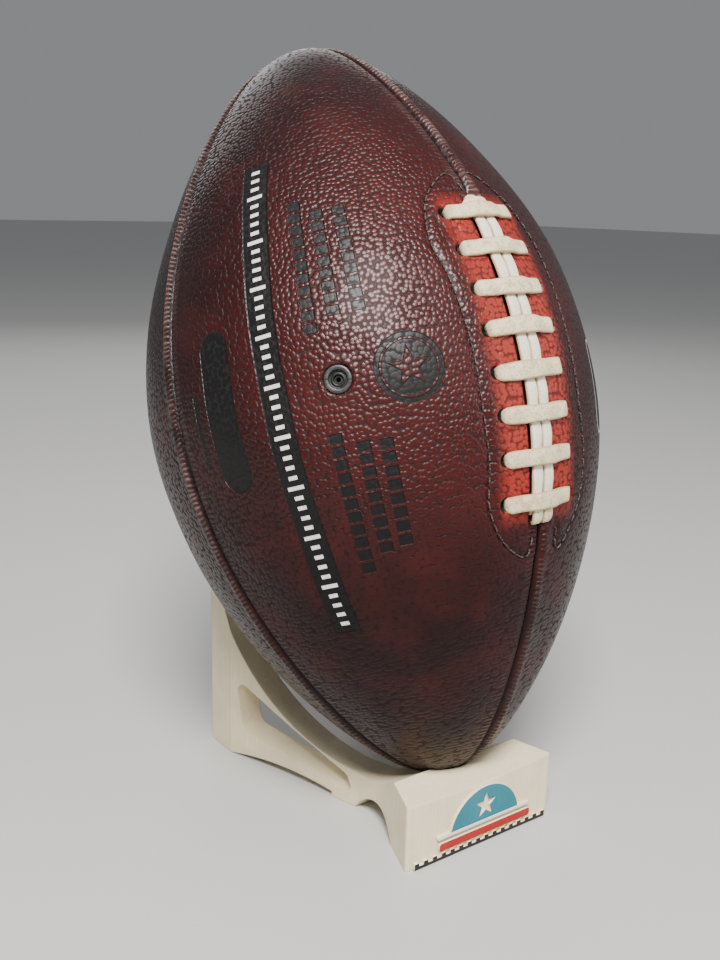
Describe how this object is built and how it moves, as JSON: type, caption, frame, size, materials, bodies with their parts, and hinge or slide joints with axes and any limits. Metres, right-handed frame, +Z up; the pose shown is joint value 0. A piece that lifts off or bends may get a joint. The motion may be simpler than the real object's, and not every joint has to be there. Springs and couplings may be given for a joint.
{
  "type": "football on a display stand",
  "caption": "Laced leather football leaning back in a one-piece printed display stand with two windowed arms and a raised emblem on its front block.",
  "frame": {"origin": "on the ground, under the middle of the whole object", "axes": "+Z up, the front of the stand faces -Y, +X to the right seen from the front"},
  "size_m": [0.171, 0.1832, 0.2874],
  "materials": {
    "stand_plastic": "matte ivory print with fine layer lines",
    "teal_plastic": "matte",
    "white_plastic": "matte",
    "red_plastic": "matte",
    "black_plastic": "matte",
    "ball_leather": "pebbled, tacky, worn along the seams",
    "facing_leather": "smooth",
    "lace_leather": "worn cream lace",
    "lining_cloth": "woven",
    "seam_thread": "waxed",
    "stitch_thread": "waxed",
    "bladder_rubber": "smooth",
    "valve_rubber": "moulded"
  },
  "bodies": {
    "stand": {"stand": "stand_plastic", "emblem_medallion": "teal_plastic", "emblem_plinth": "white_plastic", "emblem_bar": "red_plastic", "emblem_base_strip": "black_plastic"},
    "football": {"leather_panel_front_left": "ball_leather", "leather_panel_front_right": "ball_leather", "leather_panel_rear_right": "ball_leather", "leather_panel_rear_left": "ball_leather", "lining_front_left": "lining_cloth", "lining_front_right": "lining_cloth", "lining_rear_right": "lining_cloth", "lining_rear_left": "lining_cloth", "lace_facing_left": "facing_leather", "lace_facing_right": "facing_leather", "seam_threads": "seam_thread", "facing_stitches": "stitch_thread", "bladder": "bladder_rubber", "valve_body": "valve_rubber", "valve_core": "valve_rubber", "lace": "lace_leather"}
  },
  "joints": [
    {"name": "ball_lift", "type": "slide", "parent": "stand", "child": "football", "axis": [0, 0, 1], "range_m": [0, 0.15]}
  ]
}
